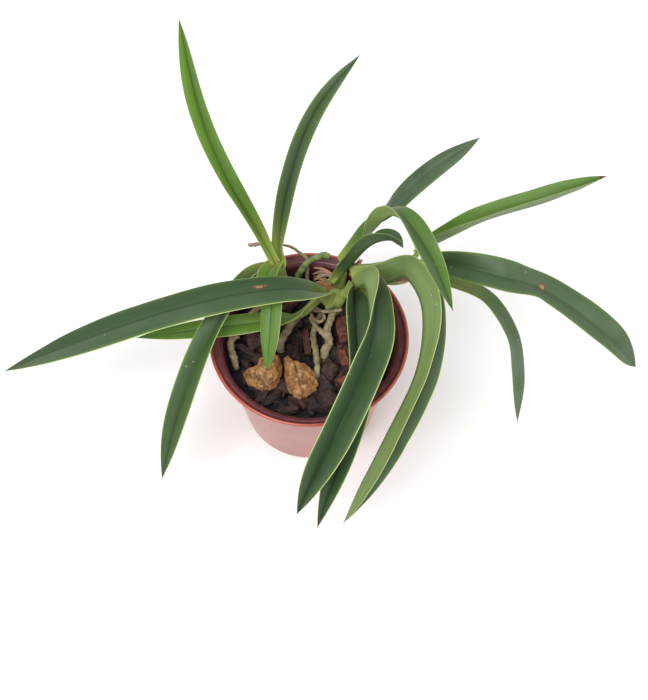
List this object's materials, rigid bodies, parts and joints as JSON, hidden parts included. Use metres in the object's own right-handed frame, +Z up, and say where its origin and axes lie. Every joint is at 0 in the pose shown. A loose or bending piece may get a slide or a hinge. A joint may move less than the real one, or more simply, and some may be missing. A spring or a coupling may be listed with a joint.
{
  "type": "wind orchid in pot",
  "caption": "Small clumping orchid with folded arching strap leaves and bare roots, growing in bark in a thin tapered plastic pot.",
  "frame": {"origin": "middle of the flat underside of the pot, on the surface it stands on", "axes": "+Z up along the pot's axis; +X to the side that the longest leaves reach to, right in the front view; +Y to the back, where the two tallest leaves rise"},
  "size_m": [0.1756, 0.1022, 0.1217],
  "materials": {
    "pot_plastic": "thin terracotta-red plastic, satin gloss outside, dull and dark inside",
    "bark_dark": "damp dark conifer bark, rough",
    "bark_pale": "dry corky bark lumps, ochre, rough and pitted",
    "leaf_green": "leathery dark green blade with a satin sheen and a pale margin",
    "leaf_bright": "younger leathery blade, brighter yellow-green, satin",
    "sheath_green": "clasping leaf bases, pale yellow-green, satin",
    "root_green": "living root, green under a thin grey skin, matt",
    "root_grey": "dry corky root skin, grey-beige, matt",
    "bract_dry": "papery dry sheath, pinkish brown, matt"
  },
  "bodies": {
    "root": {"pot": "pot_plastic", "bark_mix": "bark_dark", "bark_chunk_01": "bark_dark", "bark_chunk_02": "bark_dark", "bark_chunk_03": "bark_dark", "bark_chunk_04": "bark_dark", "bark_chunk_05": "bark_dark", "bark_chunk_06": "bark_dark", "bark_chunk_07": "bark_dark", "bark_chunk_08": "bark_dark", "bark_chunk_09": "bark_dark", "bark_chunk_10": "bark_dark", "bark_chunk_11": "bark_dark", "bark_chunk_12": "bark_dark", "bark_chunk_13": "bark_dark", "bark_large_left": "bark_pale", "bark_large_right": "bark_pale", "bract_orange": "bract_dry", "bract_pale_long": "bract_dry", "bract_pale_short": "bract_dry", "bract_sleeve": "bract_dry", "bract_spike": "bract_dry", "leaf_back_arching": "leaf_green", "leaf_back_left": "leaf_bright", "leaf_back_right": "leaf_green", "leaf_back_small": "leaf_green", "leaf_back_upright": "leaf_green", "leaf_front_arching": "leaf_green", "leaf_front_broad": "leaf_green", "leaf_front_inner": "leaf_green", "leaf_left_drooping": "leaf_green", "leaf_left_long": "leaf_green", "leaf_left_low": "leaf_bright", "leaf_left_short": "leaf_bright", "leaf_right_broad": "leaf_green", "leaf_right_narrow": "leaf_green", "leaf_right_upper": "leaf_green", "root_across": "root_grey", "root_aerial": "root_grey", "root_arched": "root_green", "root_centre": "root_grey", "root_far_left": "root_grey", "root_front": "root_grey", "root_left": "root_grey", "shoot_back": "sheath_green", "shoot_left": "sheath_green", "shoot_middle": "sheath_green", "shoot_right": "sheath_green"}
  },
  "joints": []
}
